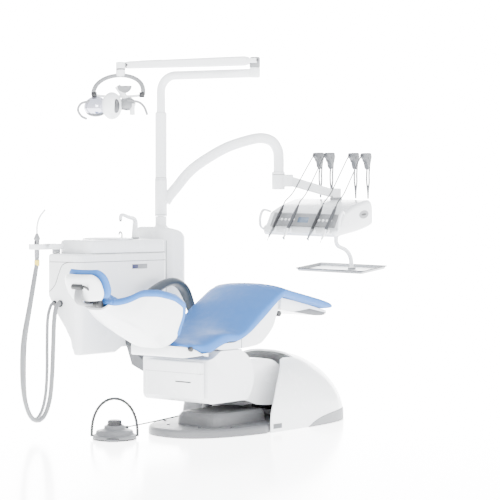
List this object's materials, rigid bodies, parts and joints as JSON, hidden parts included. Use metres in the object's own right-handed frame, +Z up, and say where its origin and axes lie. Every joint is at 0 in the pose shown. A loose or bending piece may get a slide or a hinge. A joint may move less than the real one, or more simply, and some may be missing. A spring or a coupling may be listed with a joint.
{
  "type": "dental treatment unit",
  "caption": "Dental chair on a lift base with a side water unit, an operating light, an arm-mounted instrument table with a tray, and a corded foot control.",
  "frame": {"origin": "on the floor under the middle of the base plate", "axes": "+X towards the patient's feet, +Y towards the patient's left, where the water unit stands, +Z up"},
  "size_m": [2.2362, 1.0669, 2.0574],
  "materials": {
    "blue_upholstery": "smooth light blue synthetic leather",
    "cast_iron": "grey painted iron",
    "ceramic": "glazed white",
    "dark_plastic": "satin dark plastic",
    "grey_plastic": "satin grey plastic",
    "grey_rubber": "soft grey rubber",
    "hose_rubber": "smooth grey hose",
    "lamp_glass": "clear reflector glass",
    "steel": "brushed steel",
    "white_plastic": "gloss white lacquered plastic"
  },
  "bodies": {
    "base": {"base_plate": "cast_iron", "base_cowl": "white_plastic", "base_bumper": "grey_rubber", "base_housing": "dark_plastic", "base_bracket": "steel", "foot_base": "steel", "foot_cord": "dark_plastic"},
    "foot_pedal": {"foot_pedal": "steel"},
    "foot_bail": {"foot_bail": "steel"},
    "lift_arm": {"lift_arm": "steel", "lift_shroud": "white_plastic"},
    "carriage": {"carriage_frame": "steel", "body_cover": "white_plastic", "side_cover": "white_plastic", "seat_cushion": "blue_upholstery", "seat_shell": "white_plastic", "armrest": "grey_plastic", "unit_body": "white_plastic", "unit_top": "white_plastic", "unit_column": "white_plastic", "suction_hose_large": "hose_rubber", "suction_hose_small": "hose_rubber"},
    "legrest": {"legrest_cushion": "blue_upholstery", "legrest_shell": "white_plastic"},
    "backrest": {"backrest_shell": "white_plastic", "backrest_cushion": "blue_upholstery"},
    "headrest_slide": {"headrest_bar": "steel"},
    "headrest": {"headrest_shell": "white_plastic", "headrest_cushion": "blue_upholstery"},
    "bowl": {"bowl": "ceramic"},
    "cup_filler": {"cup_filler": "white_plastic"},
    "assistant_arm": {"assistant_arm": "white_plastic"},
    "suction_large": {"suction_large": "grey_plastic"},
    "suction_small": {"suction_small": "grey_plastic"},
    "light_pole": {"light_pole": "white_plastic"},
    "light_elbow": {"light_elbow": "grey_plastic"},
    "spring_arm": {"spring_arm": "white_plastic"},
    "lamp_yoke": {"lamp_yoke": "white_plastic"},
    "lamp": {"lamp_body": "white_plastic", "lamp_glass": "lamp_glass"},
    "delivery_arm": {"delivery_arm": "white_plastic"},
    "delivery_elbow": {"delivery_elbow": "white_plastic"},
    "delivery_spring_arm": {"delivery_spring_arm": "white_plastic"},
    "table": {"table_body": "white_plastic", "control_panel": "grey_plastic", "instrument_holder": "grey_plastic"},
    "tray_arm": {"tray_arm": "white_plastic"},
    "tray": {"tray": "steel"},
    "whip_1": {"whip_1": "grey_plastic"},
    "handpiece_1": {"handpiece_1": "steel", "instrument_hose_1": "hose_rubber"},
    "whip_2": {"whip_2": "grey_plastic"},
    "handpiece_2": {"handpiece_2": "steel", "instrument_hose_2": "hose_rubber"},
    "whip_3": {"whip_3": "grey_plastic"},
    "handpiece_3": {"handpiece_3": "steel", "instrument_hose_3": "hose_rubber"},
    "whip_4": {"whip_4": "grey_plastic"},
    "handpiece_4": {"handpiece_4": "steel", "instrument_hose_4": "hose_rubber"}
  },
  "joints": [
    {"name": "foot_pedal_press", "type": "hinge", "parent": "base", "child": "foot_pedal", "pos_m": [-0.95685, 0.08242, 0.01], "axis": [-0.6429, 0.7659, 0], "range_deg": [0, 4], "stiffness_Nm_per_rad": 2, "springref_deg": -1.15},
    {"name": "foot_bail_fold", "type": "hinge", "parent": "base", "child": "foot_bail", "pos_m": [-0.868, 0.157, 0.022], "axis": [0.6429, -0.7659, 0], "range_deg": [0, 65]},
    {"name": "lift", "type": "hinge", "parent": "base", "child": "lift_arm", "pos_m": [0.3, 0, 0.2], "axis": [0, 1, 0], "range_deg": [0, 22]},
    {"name": "lift_level", "type": "hinge", "parent": "lift_arm", "child": "carriage", "pos_m": [-0.36, 0, 0.3], "axis": [0, 1, 0], "range_deg": [-22, 0]},
    {"name": "legrest_tilt", "type": "hinge", "parent": "carriage", "child": "legrest", "pos_m": [0.035, 0, 0.665], "axis": [0, 1, 0], "range_deg": [-10, 35]},
    {"name": "backrest_tilt", "type": "hinge", "parent": "carriage", "child": "backrest", "pos_m": [-0.73, 0, 0.575], "axis": [0, 1, 0], "range_deg": [-5, 40]},
    {"name": "headrest_extend", "type": "slide", "parent": "backrest", "child": "headrest_slide", "axis": [-0.9114, 0, 0.4115], "range_m": [0, 0.08]},
    {"name": "headrest_tilt", "type": "hinge", "parent": "headrest_slide", "child": "headrest", "pos_m": [-1.18443, 0, 0.72287], "axis": [0, 1, 0], "range_deg": [-25, 6]},
    {"name": "bowl_swivel", "type": "hinge", "parent": "carriage", "child": "bowl", "pos_m": [-0.52, 0.555, 1.03], "axis": [0, 0, 1], "range_deg": [-45, 45]},
    {"name": "cup_filler_swivel", "type": "hinge", "parent": "carriage", "child": "cup_filler", "pos_m": [-0.3, 0.56, 1.03], "axis": [0, 0, 1], "range_deg": [-60, 30]},
    {"name": "assistant_swivel", "type": "hinge", "parent": "carriage", "child": "assistant_arm", "pos_m": [-0.845, 0.62, 0.9575], "axis": [0, 0, 1], "range_deg": [-30, 60]},
    {"name": "suction_large_lift", "type": "slide", "parent": "assistant_arm", "child": "suction_large", "axis": [0, 0, 1], "range_m": [0, 0.06]},
    {"name": "suction_small_lift", "type": "slide", "parent": "assistant_arm", "child": "suction_small", "axis": [0, 0, 1], "range_m": [0, 0.06]},
    {"name": "light_swivel", "type": "hinge", "parent": "carriage", "child": "light_pole", "pos_m": [-0.02, 0.62, 1.375], "axis": [0, 0, 1], "range_deg": [-60, 60]},
    {"name": "light_elbow_swivel", "type": "hinge", "parent": "light_pole", "child": "light_elbow", "pos_m": [0.174, 0.077, 1.995], "axis": [0, 0, 1], "range_deg": [-20, 90]},
    {"name": "light_arm_tilt", "type": "hinge", "parent": "light_elbow", "child": "spring_arm", "pos_m": [0.174, 0.077, 2.035], "axis": [0.4407, 0.8976, 0], "range_deg": [-12, 18]},
    {"name": "lamp_turn", "type": "hinge", "parent": "spring_arm", "child": "lamp_yoke", "pos_m": [-0.545, 0.43, 1.968], "axis": [0, 0, 1], "range_deg": [-60, 60]},
    {"name": "lamp_tilt", "type": "hinge", "parent": "lamp_yoke", "child": "lamp", "pos_m": [-0.6, 0.395, 1.8], "axis": [0.6429, -0.7659, 0], "range_deg": [-30, 30]},
    {"name": "delivery_swivel", "type": "hinge", "parent": "carriage", "child": "delivery_arm", "pos_m": [-0.02, 0.62, 1.155], "axis": [0, 0, 1], "range_deg": [-30, 30]},
    {"name": "delivery_elbow_swivel", "type": "hinge", "parent": "delivery_arm", "child": "delivery_elbow", "pos_m": [0.6222, 0.26664, 1.418], "axis": [0, 0, 1], "range_deg": [-45, 45]},
    {"name": "delivery_height", "type": "hinge", "parent": "delivery_elbow", "child": "delivery_spring_arm", "pos_m": [0.65997, 0.22002, 1.366], "axis": [-0.7771, -0.6294, 0], "range_deg": [-8, 14]},
    {"name": "table_level", "type": "hinge", "parent": "delivery_spring_arm", "child": "table", "pos_m": [0.81714, 0.02599, 1.292], "axis": [-0.7771, -0.6294, 0], "range_deg": [-14, 8]},
    {"name": "whip_1_lean", "type": "hinge", "parent": "table", "child": "whip_1", "pos_m": [0.849, 0.12822, 1.28244], "axis": [0.1412, -0.9896, -0.0261], "range_deg": [0, 15]},
    {"name": "handpiece_1_lift", "type": "slide", "parent": "whip_1", "child": "handpiece_1", "axis": [-0.4138, -0.0829, 0.9066], "range_m": [0, 0.2]},
    {"name": "whip_2_lean", "type": "hinge", "parent": "table", "child": "whip_2", "pos_m": [0.85959, 0.054, 1.28049], "axis": [0.1412, -0.9896, -0.0261], "range_deg": [0, 15]},
    {"name": "handpiece_2_lift", "type": "slide", "parent": "whip_2", "child": "handpiece_2", "axis": [-0.4138, -0.0829, 0.9066], "range_m": [0, 0.2]},
    {"name": "whip_3_lean", "type": "hinge", "parent": "table", "child": "whip_3", "pos_m": [0.8826, -0.10731, 1.27623], "axis": [0.1412, -0.9896, -0.0261], "range_deg": [0, 15]},
    {"name": "handpiece_3_lift", "type": "slide", "parent": "whip_3", "child": "handpiece_3", "axis": [-0.4138, -0.0829, 0.9066], "range_m": [0, 0.2]},
    {"name": "whip_4_lean", "type": "hinge", "parent": "table", "child": "whip_4", "pos_m": [0.89417, -0.18846, 1.27409], "axis": [0.1412, -0.9896, -0.0261], "range_deg": [0, 15]},
    {"name": "handpiece_4_lift", "type": "slide", "parent": "whip_4", "child": "handpiece_4", "axis": [-0.4138, -0.0829, 0.9066], "range_m": [0, 0.2]},
    {"name": "tray_arm_swivel", "type": "hinge", "parent": "table", "child": "tray_arm", "pos_m": [0.67861, -0.11643, 1.05504], "axis": [-0.074, -0.0368, 0.9966], "range_deg": [-45, 45]},
    {"name": "tray_swivel", "type": "hinge", "parent": "tray_arm", "child": "tray", "pos_m": [0.78213, -0.15211, 0.86072], "axis": [-0.074, -0.0368, 0.9966], "range_deg": [-40, 40]}
  ],
  "couplings": [
    {"joint": "lift_level", "follows": "lift", "ratio": -1},
    {"joint": "table_level", "follows": "delivery_height", "ratio": -1},
    {"joint": "whip_1_lean", "follows": "handpiece_1_lift", "rad_per_m": 1.309},
    {"joint": "whip_2_lean", "follows": "handpiece_2_lift", "rad_per_m": 1.309},
    {"joint": "whip_3_lean", "follows": "handpiece_3_lift", "rad_per_m": 1.309},
    {"joint": "whip_4_lean", "follows": "handpiece_4_lift", "rad_per_m": 1.309}
  ]
}
